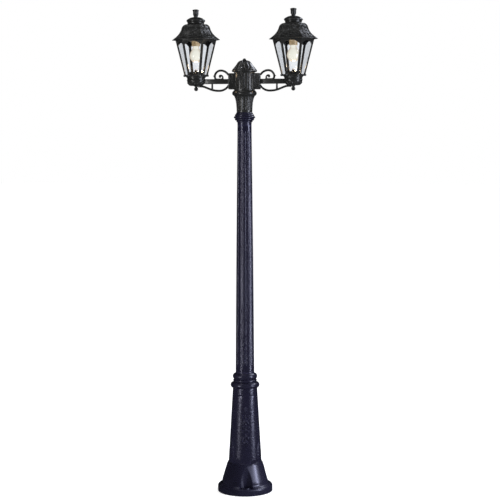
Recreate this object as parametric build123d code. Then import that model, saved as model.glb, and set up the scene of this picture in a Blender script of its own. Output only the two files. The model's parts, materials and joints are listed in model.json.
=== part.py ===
from build123d import *
import math
import os

# A two-arm garden street lamp post: a bell base and tapered pedestal, a fluted shaft round a steel
# core tube, a fluted hub with two scrolled arms, and a hexagonal lantern on the end of each arm.
# Millimetres, +Z up. The origin is the centre of the base's underside and the arms lie along X.

# ---- driving dimensions -------------------------------------------------------------------------

# heights where one post piece ends and the next begins
PLATE_TOP = 6.0
FLANGE_TOP = 31.0
BELL_TOP = 142.0
GROOVE_Z = 458.0
PEDESTAL_TOP = 491.0
MID_COLLAR_TOP = 562.0
SHAFT_TOP = 1718.0
TOP_COLLAR_TOP = 1776.0
SOCKET_TOP = 1879.0
DRUM_LOW = 1876.0
HUB_TOP = 1961.0
CORE_TOP = 1850.0

# radii of the post
FLANGE_R = 128.5
PLATE_R = 117.5
BELL_FOOT_R = 110.2
BELL_NECK_R = 85.2
PEDESTAL_FOOT_R = 77.4
PEDESTAL_HEAD_R = 57.0
SHAFT_FOOT_R = 43.7
SHAFT_MIDDLE_R = 38.9
SHAFT_HEAD_R = 32.6
CORE_R = 25.0
CORE_WALL = 3.0
CORE_BORE_R = CORE_R - CORE_WALL
CORE_GAP = 0.3
HUB_R = 48.6
CHAMBER_R = 41.0
CHAMBER_X = 38.0
FLUTES = 18
CAP_SCREW_X = -5.5
CAP_SCREW_Y = 44.5
CAP_SCREW_Z = 1981.0
GRUB_Z = 1812.0
GRUB_ANGLES = (62, 118)

# screws, rods and clearances
SCREW_R = 3.0
ROD_R = 4.0
FIT_GAP = 0.05
MOVING_GAP = 0.3

# anchoring
ANCHOR_PCD = 200.0
ANCHOR_HOLE_R = 6.5
ANCHOR_COUNT = 4
ANCHOR_TURN = -78.0
POCKET_R = 14.0
POCKET_LOW = 14.0
RECESS_R = 32.0
RECESS_AXIS_R = 120.5

# arms
ARM_REACH = 227.0
PLATE_INNER_X = 46.0
PLATE_OUTER_X = 71.5
PLATE_LOW = 1882.0
PLATE_HIGH = 1955.0
PLATE_WIDTH = 56.0
BAR_Z = 1918.0
BAR_HEIGHT = 23.0
BAR_DEPTH = 16.0
BAR_BORE_R = 5.0
STROKE_R = 4.9
WIRE_HOLE_R = 5.0
SCREW_HEIGHTS = (PLATE_LOW + 12, PLATE_HIGH - 12)

# lantern heights and radii (corner radii of the hexagons)
CUP_LOW = 1894.0
CUP_TOP = 1941.0
CUP_R = 41.5
CUP_RIM_R = 44.5
CUP_NECK_R = 7.0
BALL_Z = 1884.0
BALL_R = 9.4
BALL_NECK_R = 5.6
WINDOW_SILL = 1949.0
BOSS_TOP = 1962.0
ROD_LOW = 1880.0
ROD_TOP = 1971.0
CAGE_TOP = 2109.0
CAGE_TOP_R = 96.6
CAGE_SLOPE = 0.2535
CAGE_WALL = 4.0
POST_HALF_WIDTH = 7.6
ARCH_SPRING = 2084.0
ARCH_CROWN = 2101.0
PANE_T = 2.0
GASKET_T = 3.0
ROOF_LIP = 2108.5
EAVE_R = 112.5
ROOF_TOP = 2182.0
ROOF_WALL = 3.5
CROWN_TOP = 2217.0
KNOB_TOP = 2250.0

# bulb and lampholder
BULB_LOW = 2006.0
BULB_R = 30.0
BULB_NECK_R = 13.2
BULB_NECK_TOP = 2085.0
BULB_CAP_TOP = 2112.0
HOLDER_LOW = 2081.0
HOLDER_TOP = 2146.0
HOLDER_R = 19.0
BRIDGE_Z = 2103.0
BRIDGE_T = 3.0

HEX_STEP = 60.0
COS30 = math.cos(math.radians(30.0))

os.makedirs("parts", exist_ok=True)


# ---- helpers ------------------------------------------------------------------------------------

def turned(outline):
    """A solid of revolution about Z from closed edges drawn as (radius, height)."""
    return revolve(Plane.XZ * make_face(outline), Axis.Z)


def upright(radius, low, high):
    """A cylinder about Z between two heights."""
    return Pos(0, 0, low) * Cylinder(radius, high - low, align=(Align.CENTER, Align.CENTER, Align.MIN))


def block(x0, x1, y0, y1, z0, z1):
    """A box from its lowest and highest corners."""
    centre = Pos((x0 + x1) / 2, (y0 + y1) / 2, (z0 + z1) / 2)
    return centre * Box(x1 - x0, y1 - y0, z1 - z0)


def hexagon(radius, height):
    """A level hexagonal face with a corner on +X."""
    return Pos(0, 0, height) * RegularPolygon(radius, 6)


def hex_frustum(low_radius, low, high_radius, high):
    """A hexagonal frustum given by its corner radii."""
    return loft([hexagon(low_radius, low), hexagon(high_radius, high)], ruled=True)


def shaft_radius(height):
    """Radius of the tapered shaft, with its slight swelling, on a parabola through three radii."""
    t = (height - MID_COLLAR_TOP) / (SHAFT_TOP - MID_COLLAR_TOP)
    a = 2 * SHAFT_FOOT_R - 4 * SHAFT_MIDDLE_R + 2 * SHAFT_HEAD_R
    b = 4 * SHAFT_MIDDLE_R - 3 * SHAFT_FOOT_R - SHAFT_HEAD_R
    return SHAFT_FOOT_R + b * t + a * t * t


def pedestal_radius(height):
    """Radius of the straight tapered pedestal."""
    t = (height - BELL_TOP) / (PEDESTAL_TOP - BELL_TOP)
    return PEDESTAL_FOOT_R + (PEDESTAL_HEAD_R - PEDESTAL_FOOT_R) * t


def cage_radius(height):
    """Corner radius of the lantern cage's outside."""
    return CAGE_TOP_R - (CAGE_TOP - height) * CAGE_SLOPE


def swept(path, radius):
    """A round bar along a path."""
    return sweep((path ^ 0) * Circle(radius), path=path)


def domed(edge, apex):
    """An arc from an edge point (radius, height) to an apex on the axis, centred on the axis."""
    radius, height = edge
    rise = apex - height
    ball = (radius ** 2 + rise ** 2) / (2 * abs(rise))
    way = math.copysign(1.0, rise)
    centre = apex - way * ball
    half = math.atan2(radius, way * (height - centre)) / 2
    return ThreePointArc(edge, (ball * math.sin(half), centre + way * ball * math.cos(half)), (0, apex))


def write(name, shape):
    """Write one sub-part."""
    shape.label = name
    export_step(shape, f"parts/{name}.step")


def group(shapes):
    """Separate solids that share one node."""
    solids = []
    for shape in shapes:
        solids.extend(shape.solids())
    return Compound(children=solids)


# ---- the post -----------------------------------------------------------------------------------

def anchor_places(radius):
    """Where the anchor bolts stand, one every quarter turn."""
    return [Rot(0, 0, ANCHOR_TURN + 90.0 * i) * Pos(radius, 0, 0) for i in range(ANCHOR_COUNT)]


def base_plate():
    """Steel disc under the bell, with the anchor holes and the conduit hole."""
    plate = upright(PLATE_R, 0, PLATE_TOP) - upright(CORE_BORE_R, 0, PLATE_TOP)
    for place in anchor_places(ANCHOR_PCD / 2):
        plate -= place * upright(ANCHOR_HOLE_R, 0, PLATE_TOP)
    return plate


def core_tube():
    """Steel tube welded on the base plate, which carries the moulded skins."""
    return upright(CORE_R, PLATE_TOP, CORE_TOP) - upright(CORE_BORE_R, PLATE_TOP, CORE_TOP)


def base_bell():
    """Moulded bell with a thick round flange and, at each anchor, an arched recess and a rimmed pocket."""
    outline = Polyline((PLATE_R + 0.5, 0), (FLANGE_R, 0), (FLANGE_R, 23))
    outline += ThreePointArc((FLANGE_R, 23), (FLANGE_R - 2.4, 29.4), (FLANGE_R - 8.5, 32.5))
    outline += Line((FLANGE_R - 8.5, 32.5), (BELL_FOOT_R + 6, 37))
    outline += ThreePointArc((BELL_FOOT_R + 6, 37), (BELL_FOOT_R + 1.8, 41), (BELL_FOOT_R, 50))
    outline += Line((BELL_FOOT_R, 50), (BELL_NECK_R, 128))
    outline += ThreePointArc((BELL_NECK_R, 128), (81.4, 136.5), (PEDESTAL_FOOT_R, BELL_TOP))
    outline += Polyline((PEDESTAL_FOOT_R, BELL_TOP), (40, BELL_TOP), (40, 136), (72, 136), (82, 70),
                        (82, PLATE_TOP), (PLATE_R + 0.5, PLATE_TOP), (PLATE_R + 0.5, 0))
    bell = turned(outline)
    for place in anchor_places(RECESS_AXIS_R):
        bell -= place * upright(RECESS_R, FLANGE_TOP, BELL_TOP)
    for place in anchor_places(ANCHOR_PCD / 2):
        bell += place * upright(POCKET_R + 3.5, FLANGE_TOP - 2, FLANGE_TOP + 4)
        bell -= place * upright(POCKET_R, POCKET_LOW, FLANGE_TOP + 4)
        bell -= place * upright(ANCHOR_HOLE_R, 0, POCKET_LOW)
    return bell


def pedestal():
    """Moulded tapered shell with one fine border groove under its head."""
    outline = Polyline((PEDESTAL_FOOT_R, BELL_TOP), (PEDESTAL_HEAD_R, PEDESTAL_TOP),
                       (PEDESTAL_HEAD_R - 5, PEDESTAL_TOP), (PEDESTAL_FOOT_R - 5, BELL_TOP), close=True)
    shell = turned(outline)
    return shell - Pos(0, 0, GROOVE_Z) * Torus(pedestal_radius(GROOVE_Z) + 0.3, 0.8)


def mid_collar():
    """Ringed collar between the pedestal and the shaft."""
    low, top = PEDESTAL_TOP, MID_COLLAR_TOP
    bore = CORE_R + CORE_GAP
    outline = Line((bore, low), (58.5, low))
    outline += ThreePointArc((58.5, low), (67.8, low + 13.5), (57.0, low + 25.5))
    outline += ThreePointArc((57.0, low + 25.5), (53.2, low + 26.4), (52.0, low + 28.4))
    outline += ThreePointArc((52.0, low + 28.4), (55.4, low + 34.6), (50.8, low + 40.6))
    outline += ThreePointArc((50.8, low + 40.6), (57.4, low + 53), (51.5, low + 65.5))
    outline += ThreePointArc((51.5, low + 65.5), (46.4, low + 67.2), (SHAFT_FOOT_R, top))
    outline += Polyline((SHAFT_FOOT_R, top), (bore, top), (bore, low))
    return turned(outline)


def shaft():
    """Moulded tapered shaft with shallow round-ended flutes between two plain bands."""
    low, top = MID_COLLAR_TOP, SHAFT_TOP
    middle = (low + top) / 2
    outline = ThreePointArc((SHAFT_FOOT_R, low), (SHAFT_MIDDLE_R, middle), (SHAFT_HEAD_R, top))
    outline += Polyline((SHAFT_HEAD_R, top), (CORE_R + 1.6, top), (SHAFT_FOOT_R - 5.1, low),
                        (SHAFT_FOOT_R, low))
    body = turned(outline)
    flute_low, flute_top, flute_r, depth = 602.0, 1686.0, 6.0, 1.3
    spans = ((flute_low, middle), (middle, flute_top))
    for i in range(FLUTES):
        turn = Rot(0, 0, 360.0 / FLUTES * (i + 0.5))
        for z0, z1 in spans:
            start = Vector(shaft_radius(z0) + flute_r - depth, 0, z0)
            finish = Vector(shaft_radius(z1) + flute_r - depth, 0, z1)
            along = finish - start
            cut = Plane(origin=start, z_dir=along) * Cylinder(
                flute_r, along.length, align=(Align.CENTER, Align.CENTER, Align.MIN))
            body -= turn * cut
        for height in (flute_low, flute_top):
            body -= turn * Pos(shaft_radius(height) + flute_r - depth, 0, height) * Sphere(flute_r)
    return body


def top_collar():
    """Double-cone collar of five stacked half-round rings that crowns the shaft."""
    low, top = SHAFT_TOP, TOP_COLLAR_TOP
    bore = CORE_R + CORE_GAP
    rings = [((37.6, low + 17.0), (34.6, low + 21.8)), ((44.4, low + 26.4), (41.8, low + 30.6)),
             ((49.4, low + 35.2), (42.2, low + 39.8)), ((44.8, low + 44.4), (36.4, low + 48.6)),
             ((39.6, low + 52.6), (35.4, low + 57.0))]
    edges = [Polyline((bore, top), (bore, low), (SHAFT_HEAD_R, low), (33.2, low + 12))]
    corner = (33.2, low + 12)
    for belly, finish in rings:
        edges.append(ThreePointArc(corner, belly, finish))
        corner = finish
    edges += [Polyline(corner, (corner[0], top), (bore, top))]
    return turned(edges)


def flared_radius(height):
    """Outer radius of the head socket below its ring."""
    t = max(0.0, (height - 1800.0) / 52.0)
    return 36.0 + 0.055 * (height - TOP_COLLAR_TOP) + 8.0 * t ** 2.6


def head_socket():
    """Fluted socket that drops over the core tube and flares up to a ring with a spigot on it."""
    heights = [TOP_COLLAR_TOP, 1800, 1820, 1840, 1847, 1852]
    flute_heights = [1786, 1800, 1820, 1840, 1846]
    rise = [(flared_radius(z), z) for z in heights]
    bore = CORE_R + CORE_GAP
    outline = Polyline((CORE_BORE_R, DRUM_LOW), (CORE_BORE_R, CORE_TOP), (bore, CORE_TOP),
                       (bore, TOP_COLLAR_TOP), rise[0])
    outline += Spline(rise)
    outline += ThreePointArc(rise[-1], (56.8, 1863.5), (51.5, 1873.5))
    outline += Polyline((51.5, 1873.5), (50.2, DRUM_LOW), (CORE_BORE_R, DRUM_LOW))
    spigot = upright(CHAMBER_R - CORE_GAP, DRUM_LOW, SOCKET_TOP) - upright(CORE_BORE_R, DRUM_LOW, SOCKET_TOP)
    reach = CHAMBER_X - CORE_GAP
    socket = turned(outline) + (spigot & block(-reach, reach, -60, 60, DRUM_LOW, SOCKET_TOP))
    flute_r, depth = 4.4, 2.1
    for i in range(FLUTES):
        track = Spline([Vector(flared_radius(z) + flute_r - depth, 0, z) for z in flute_heights])
        socket -= Rot(0, 0, 360.0 / FLUTES * (i + 0.5)) * swept(track, flute_r)
    for angle in GRUB_ANGLES:
        socket -= Rot(0, 0, angle) * Pos(0, 0, GRUB_Z) * Rot(0, 90, 0) * Cylinder(
            SCREW_R + FIT_GAP, 60, align=(Align.CENTER, Align.CENTER, Align.MIN))
    return socket


def grub_screws():
    """Two socket screws at the back that lock the head socket to the core tube."""
    screws = []
    for angle in GRUB_ANGLES:
        screw = Cylinder(SCREW_R, 11, align=(Align.CENTER, Align.CENTER, Align.MIN))
        screw -= Pos(0, 0, 8) * extrude(RegularPolygon(1.7, 6), 3)
        screws.append(Rot(0, 0, angle) * Pos(0, 0, GRUB_Z) * Rot(0, 90, 0) * Pos(0, 0, CORE_R) * screw)
    return group(screws)


def hub_body():
    """Fluted drum round the wiring chamber, with flats for the arms and a lug for the cap."""
    low, top, flat = DRUM_LOW, HUB_TOP, PLATE_INNER_X
    drum = upright(HUB_R, low, top)
    flute_r, depth = 4.2, 2.9
    flute_low, flute_top = low + 11, top - 8
    for i in range(FLUTES):
        turn = Rot(0, 0, 360.0 / FLUTES * i)
        drum -= turn * Pos(HUB_R + flute_r - depth, 0, 0) * upright(flute_r, flute_low, flute_top)
        for height in (flute_low, flute_top):
            drum -= turn * Pos(HUB_R + flute_r - depth, 0, height) * Sphere(flute_r)
    for side in (-1, 1):
        drum -= Pos(side * (flat + 10), 0, (low + top) / 2) * Box(20, 60, top - low)
    drum -= upright(CHAMBER_R, low, top) & block(-CHAMBER_X, CHAMBER_X, -50, 50, low, top)
    under_cap = Pos(0, 0, 1966) * Cone(43.5, 24, 23, align=(Align.CENTER, Align.CENTER, Align.MIN))
    lug = block(-11.5, 0.5, -41.2, -22, SOCKET_TOP, 1968)
    lug += block(-11.5, 0.5, -36, -22, 1966, 1986) & under_cap
    drum += lug & upright(CHAMBER_R + 0.2, SOCKET_TOP, 1990)
    drum -= Pos(CAP_SCREW_X, -30, CAP_SCREW_Z) * Rot(90, 0, 0) * Cylinder(2.05, 30)
    for side in (-1, 1):
        drum -= Pos(side * 42, 0, BAR_Z) * Rot(0, 90, 0) * Cylinder(WIRE_HOLE_R, 12)
        for height in SCREW_HEIGHTS:
            drum -= Pos(side * 42, 0, height) * Rot(0, 90, 0) * Cylinder(SCREW_R + FIT_GAP, 12)
    return drum


def terminal_block():
    """Three-pole connector block on the hub floor."""
    floor = SOCKET_TOP
    body = block(-33, -15, -18, 18, floor, floor + 16)
    for y in (-11, 0, 11):
        body -= Pos(-24, y, floor + 8) * Rot(0, 90, 0) * Cylinder(2.2, 18)
        body -= Pos(-24, y, floor + 12) * Cylinder(2.4, 8)
    return body


def hub_cap():
    """Hollow ogee cap with a rolled brim and a button on top."""
    low = HUB_TOP
    outline = Line((47, low), (54, low))
    outline += ThreePointArc((54, low), (58.2, low + 5.2), (54, low + 10.4))
    outline += ThreePointArc((54, low + 10.4), (43.5, 1983.5), (34, 1996))
    outline += ThreePointArc((34, 1996), (24.5, 2008), (8, 2015.5))
    outline += Line((8, 2015.5), (7.4, 2019))
    outline += domed((7.4, 2019), 2023.5)
    outline += Polyline((0, 2023.5), (0, 2011), (7, 2011))
    outline += ThreePointArc((7, 2011), (20, 2005), (29.5, 1993))
    outline += ThreePointArc((29.5, 1993), (38, 1980.5), (47, 1968.5))
    outline += Line((47, 1968.5), (47, low))
    pad = Pos(CAP_SCREW_X, -CAP_SCREW_Y, CAP_SCREW_Z) * Rot(90, 0, 0)
    cap = turned(outline)
    cap += pad * Cylinder(6.4, 5.0, align=(Align.CENTER, Align.CENTER, Align.MAX))
    cap -= pad * Cylinder(5.2, 6.0, align=(Align.CENTER, Align.CENTER, Align.MIN))
    return cap - pad * Cylinder(2.3, 20)


def cap_screw():
    """Pan-head screw that fixes the cap to the hub's lug."""
    head = Cylinder(4.6, 3.0, align=(Align.CENTER, Align.CENTER, Align.MIN))
    head = fillet(head.edges().group_by(Axis.Z)[-1], 1.2)
    head -= Pos(0, 0, 2.4) * Box(1.1, 6, 1.6)
    head -= Pos(0, 0, 2.4) * Box(6, 1.1, 1.6)
    shank = Cylinder(2.0, 17.0, align=(Align.CENTER, Align.CENTER, Align.MAX))
    return Pos(CAP_SCREW_X, -CAP_SCREW_Y, CAP_SCREW_Z) * Rot(90, 0, 0) * (head + shank)


# ---- one arm, along +X --------------------------------------------------------------------------

def bar_envelope(gap=0.0):
    """The rectangular bar's outside, from the plate to inside the cup."""
    half_y, half_z = BAR_DEPTH / 2 + gap, BAR_HEIGHT / 2 + gap
    bar = block(PLATE_OUTER_X, ARM_REACH - 31.0, -half_y, half_y, BAR_Z - half_z, BAR_Z + half_z)
    return fillet(bar.edges().filter_by(Axis.X), 3.0)


def bracket_plate():
    """Ribbed pilaster plate that carries the arm and saddles onto the hub."""
    half = PLATE_WIDTH / 2
    plate = block(34, PLATE_OUTER_X, -half, half, PLATE_LOW, PLATE_HIGH)
    for x in (51.5, 58.5, 65.5):
        for side in (-1, 1):
            plate -= Pos(x, side * (half + 1.2), (PLATE_LOW + PLATE_HIGH) / 2) * Cylinder(
                2.6, PLATE_HIGH - PLATE_LOW - 8)
    for y in (-21.0, -14.0, 14.0, 21.0):
        plate -= Pos(PLATE_OUTER_X + 1.2, y, (PLATE_LOW + PLATE_HIGH) / 2) * Cylinder(
            2.6, PLATE_HIGH - PLATE_LOW - 8)
    plate -= upright(HUB_R + MOVING_GAP, PLATE_LOW, PLATE_HIGH)
    plate += block(PLATE_INNER_X, 52, -13, 13, PLATE_LOW, PLATE_HIGH)
    plate -= Pos(62, 0, BAR_Z) * Rot(0, 90, 0) * Cylinder(WIRE_HOLE_R, 40)
    for height in SCREW_HEIGHTS:
        plate -= Pos(PLATE_INNER_X, 0, height) * Rot(0, 90, 0) * Cylinder(
            SCREW_R + FIT_GAP, 24, align=(Align.CENTER, Align.CENTER, Align.MIN))
    return plate


def bracket_screws():
    """Two screws from inside the hub into the plate."""
    screws = []
    for height in SCREW_HEIGHTS:
        head = Cylinder(5.0, 4.0, align=(Align.CENTER, Align.CENTER, Align.MAX))
        head -= Pos(0, 0, -4) * extrude(RegularPolygon(2.6, 6), 2.2)
        shank = Cylinder(SCREW_R, 30.0, align=(Align.CENTER, Align.CENTER, Align.MIN))
        screws.append(Pos(38, 0, height) * Rot(0, 90, 0) * (head + shank))
    return group(screws)


def arm_bar():
    """Hollow rectangular bar that carries the lantern and its wires."""
    return bar_envelope() - Pos(135, 0, BAR_Z) * Rot(0, 90, 0) * Cylinder(BAR_BORE_R, 140)


def upper_scroll():
    """C-scroll over the bar, with an inner curl ending in a ball and a small leaf tip."""
    side = Plane.XZ
    peak = (110.5, 1968.5)
    outer = JernArc(peak, (1, 0), 28.5, -80)
    outer += JernArc(outer @ 1, outer % 1, 18.5, -75)
    rise = JernArc(peak, (-1, 0), 41.0, 60)
    curl = CenterArc((111.0, 1936.5), 9.5, 235, -190)
    arms = swept(side * outer, STROKE_R) + swept(side * rise, STROKE_R)
    arms += swept(side * curl, 3.8)
    arms += Pos(114.5, 0, 1940.5) * Sphere(5.8)
    leaf_tip = Cone(4.3, 0.6, 9.5, align=(Align.CENTER, Align.CENTER, Align.MIN))
    arms += Pos(138.5, 0, 1944.5) * Rot(0, 100, 0) * leaf_tip
    bar_top = BAR_Z + BAR_HEIGHT / 2
    arms += block(97, 131, -4, 4, bar_top, bar_top + 2.5)
    arms -= block(60, PLATE_OUTER_X, -20, 20, 1900, 1990)
    arms -= block(60, 180, -20, 20, 1890, bar_top)
    return arms


def lower_brace():
    """S-shaped brace under the bar with a short strut, from the plate to the cup's neck."""
    side = Plane.XZ
    bottom = (117.0, 1875.5)
    rise = JernArc(bottom, (-1, 0), 50.0, -60)
    run = Line(bottom, (121.0, 1875.5))
    run += JernArc(run @ 1, run % 1, 110.0, 22.0)
    run += Line(run @ 1, run @ 1 + (run % 1) * 23)
    run += JernArc(run @ 1, run % 1, 60.0, -22.0)
    run += Line(run @ 1, run @ 1 + (run % 1) * 12)
    brace = swept(side * rise, STROKE_R) + swept(side * run, STROKE_R)
    strut = Pos(151, 0, 1879) * Cone(4.8, 3.6, 34, align=(Align.CENTER, Align.CENTER, Align.MIN))
    brace += strut & block(130, 170, -10, 10, 1876, BAR_Z - BAR_HEIGHT / 2)
    brace -= block(40, PLATE_OUTER_X, -20, 20, 1860, 1940)
    brace -= block(60, 180, -20, 20, BAR_Z - BAR_HEIGHT / 2, 1960)
    brace -= Pos(ARM_REACH, 0, BALL_Z) * Sphere(BALL_R + MOVING_GAP)
    brace -= Pos(ARM_REACH, 0, 0) * upright(BALL_NECK_R + MOVING_GAP, 1860, CUP_LOW)
    brace -= Pos(ARM_REACH, 0, 0) * cup_envelope()
    return brace


# ---- one lantern, about its own axis ------------------------------------------------------------

def cup_edges():
    """Outer edges of the cup from its rim down to its neck."""
    edges = [Line((CUP_RIM_R, CUP_TOP), (CUP_RIM_R, 1937))]
    edges += [ThreePointArc((CUP_RIM_R, 1937), (42.2, 1935.2), (CUP_R, 1932))]
    edges += [Line((CUP_R, 1932), (CUP_R, 1926))]
    edges += [ThreePointArc((CUP_R, 1926), (CUP_R + 1.7, 1923.5), (CUP_R, 1921))]
    edges += [Line((CUP_R, 1921), (CUP_R, 1919.5))]
    edges += [ThreePointArc((CUP_R, 1919.5), (33.8, 1906.0), (14.0, 1898.5))]
    edges += [ThreePointArc((14.0, 1898.5), (8.8, 1897.2), (CUP_NECK_R, CUP_LOW))]
    return edges


def cup_envelope():
    """The cup as a filled solid."""
    core = Polyline((CUP_NECK_R, CUP_LOW), (0, CUP_LOW), (0, CUP_TOP), (CUP_RIM_R, CUP_TOP))
    return turned(cup_edges() + [core])


def cup():
    """Round cup under the lantern, hollow for the wires, with a bored neck."""
    bore = ROD_R + FIT_GAP
    inner = [Polyline((CUP_NECK_R, CUP_LOW), (bore, CUP_LOW), (bore, 1903))]
    inner += [ThreePointArc((bore, 1903), (27.0, 1910.0), (37.5, 1921))]
    inner += [Polyline((37.5, 1921), (37.5, CUP_TOP), (CUP_RIM_R, CUP_TOP))]
    return turned(cup_edges() + inner)


def drop_ball():
    """Ball nut that closes the cup's neck from below."""
    ball = Pos(0, 0, BALL_Z) * Sphere(BALL_R) + upright(BALL_NECK_R, BALL_Z, CUP_LOW)
    return ball - upright(ROD_R + FIT_GAP, ROD_LOW, CUP_LOW)


def tie_rod():
    """Threaded rod from the drop ball to the nut in the lantern's floor."""
    return upright(ROD_R, ROD_LOW, ROD_TOP)


def foot_nut():
    """Domed nut on the lantern's floor boss."""
    nut = Pos(0, 0, BOSS_TOP) * extrude(RegularPolygon(7.5, 6), 7)
    nut += Pos(0, 0, BOSS_TOP + 7) * Cone(6.3, 3.0, 5.5, align=(Align.CENTER, Align.CENTER, Align.MIN))
    return nut - upright(ROD_R + FIT_GAP, BOSS_TOP, ROD_TOP)


def lantern_foot():
    """Hexagonal floor of the lantern with a raised round boss, seated on the cup's rim."""
    inset = (CAGE_WALL + FIT_GAP) / COS30
    low, high = CUP_TOP, WINDOW_SILL
    foot = hex_frustum(cage_radius(low) - inset, low, cage_radius(high) - inset, high)
    foot += Pos(0, 0, high) * Cone(39, 36, BOSS_TOP - high, align=(Align.CENTER, Align.CENTER, Align.MIN))
    foot -= Pos(0, 0, low) * Cone(34, 32, 15, align=(Align.CENTER, Align.CENTER, Align.MIN))
    foot -= upright(ROD_R + FIT_GAP, low, BOSS_TOP)
    foot -= Pos(22, 0, 0) * upright(WIRE_HOLE_R, low, BOSS_TOP)
    return foot


def window():
    """Outline of one arched window, drawn as (across, height)."""
    def half(height):
        return cage_radius(height) / 2 - POST_HALF_WIDTH

    low, spring = half(WINDOW_SILL), half(ARCH_SPRING)
    edges = Polyline((-spring, ARCH_SPRING), (-low, WINDOW_SILL), (low, WINDOW_SILL), (spring, ARCH_SPRING))
    edges += ThreePointArc((spring, ARCH_SPRING), (0, ARCH_CROWN), (-spring, ARCH_SPRING))
    return make_face(edges)


def cage():
    """Six posts, an arched top ring and a sill ring in one moulding, with a foot at each corner."""
    low, top = CUP_TOP, CAGE_TOP
    inset = CAGE_WALL / COS30
    shell = hex_frustum(cage_radius(low), low, cage_radius(top), top)
    shell -= hex_frustum(cage_radius(low) - inset, low, cage_radius(top) - inset, top)
    for i in range(6):
        wall = Plane(origin=(0, 0, 0), x_dir=(0, 1, 0), z_dir=(1, 0, 0))
        shell -= Rot(0, 0, 30 + HEX_STEP * i) * (Pos(38, 0, 0) * extrude(wall * window(), 80))
    for i in range(6):
        foot = Pos(cage_radius(low) + 0.5, 0, low) * Cylinder(
            5.0, 9.0, align=(Align.CENTER, Align.CENTER, Align.MIN))
        foot -= hex_frustum(cage_radius(low) - 1, low, cage_radius(low + 9) - 1, low + 9)
        shell += Rot(0, 0, HEX_STEP * i) * foot
    return shell


def panes():
    """Six flat clear panes behind the windows."""
    low, high, edge_gap = WINDOW_SILL + 1.0, 2102.0, 1.2
    inward = (CAGE_WALL + PANE_T) / COS30
    half_low, half_high = [(cage_radius(z) - inward) / 2 - edge_gap for z in (low, high)]
    in_low, in_high = [cage_radius(z) * COS30 - CAGE_WALL for z in (low, high)]
    outline = Polyline((in_low, -half_low, low), (in_low, half_low, low),
                       (in_high, half_high, high), (in_high, -half_high, high), close=True)
    sheet = extrude(make_face(outline), PANE_T, dir=(-1, 0, CAGE_SLOPE * COS30))
    return group([Rot(0, 0, 30 + HEX_STEP * i) * sheet for i in range(6)])


def gasket():
    """Rubber seal on the cage's top edge."""
    ring = extrude(hexagon(CAGE_TOP_R - 0.6, CAGE_TOP), GASKET_T)
    return ring - extrude(hexagon(CAGE_TOP_R - 6.5, CAGE_TOP), GASKET_T)


def bridge():
    """Bent steel stirrup across the cage: it holds the lampholder and carries the roof stud."""
    low, high = BRIDGE_Z, BRIDGE_Z + BRIDGE_T
    reach = (cage_radius(low) - CAGE_WALL / COS30) * COS30
    strap = block(-30, 30, -reach - 5, reach + 5, low, high)
    strap &= hex_frustum(cage_radius(low) - CAGE_WALL / COS30, low,
                         cage_radius(high) - CAGE_WALL / COS30, high)
    strap -= upright(HOLDER_R + FIT_GAP, low, high)
    for side in (-1, 1):
        strap += block(side * 28.5 - 1.5, side * 28.5 + 1.5, -9, 9, high, HOLDER_TOP + 4)
    strap += block(-30, 30, -9, 9, HOLDER_TOP + 4, HOLDER_TOP + 7)
    return strap


def stud():
    """Threaded stud that rises through the roof to the finial knob."""
    return upright(ROD_R, HOLDER_TOP + 7, 2236)


def lampholder():
    """Screw-shell lampholder with a shoulder that rests on the bridge."""
    holder = upright(HOLDER_R, HOLDER_LOW, 2140) + upright(23.5, BRIDGE_Z + BRIDGE_T, 2112)
    holder += upright(12.0, 2140, HOLDER_TOP)
    holder -= upright(BULB_NECK_R + 0.9, HOLDER_LOW, BULB_CAP_TOP + 1)
    for z in (HOLDER_LOW + 5.0, HOLDER_LOW + 10.0, HOLDER_LOW + 15.0):
        holder -= Pos(0, 0, z) * (Cylinder(HOLDER_R + 2, 1.4) - Cylinder(HOLDER_R - 0.9, 1.4))
    return holder


def bulb_outline(wall):
    """The pear-shaped outline of the bulb, offset inwards by the wall."""
    low, top = BULB_LOW, BULB_NECK_TOP - wall
    wide = (BULB_R - wall, low + BULB_R)
    shoulder = (17.5 - wall, low + 60)
    edges = domed(wide, low + wall)
    edges += ThreePointArc(wide, (26.5 - wall, low + 45.5), shoulder)
    edges += ThreePointArc(shoulder, (13.9 - wall, low + 69), (BULB_NECK_R - wall, top))
    edges += Polyline((BULB_NECK_R - wall, top), (0, top), (0, low + wall))
    return edges


def bulb_glass():
    """Pear-shaped glass envelope, 1 mm thick."""
    return turned(bulb_outline(0.0)) - turned(bulb_outline(1.0))


def bulb_cap():
    """Threaded metal cap with a centre contact."""
    low, pitch, turns = BULB_NECK_TOP, 3.6, 6
    edges = []
    for i in range(turns):
        z = low + pitch * i
        edges.append(ThreePointArc((12.9, z), (13.6, z + pitch / 2), (12.9, z + pitch)))
    top = low + pitch * turns
    edges.append(Polyline((12.9, top), (6, top + 3.4), (5, top + 3.4), (5, BULB_CAP_TOP), (0, BULB_CAP_TOP),
                          (0, low + 2), (11.6, low + 2), (11.6, low), (12.9, low)))
    return turned(edges)


def bulb_filament():
    """Glass stem with four slim light filaments."""
    low = BULB_LOW
    stem = upright(7.5, BULB_NECK_TOP - 4.0, BULB_NECK_TOP - 1.0) + upright(2.4, low + 46, BULB_NECK_TOP - 4)
    pieces = [stem]
    for i in range(4):
        stick = Pos(7.5, 0, low + 36) * Rot(0, 8, 0) * Cylinder(0.9, 34)
        pieces.append(Rot(0, 0, 45 + 90 * i) * stick)
    return group(pieces)


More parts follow.
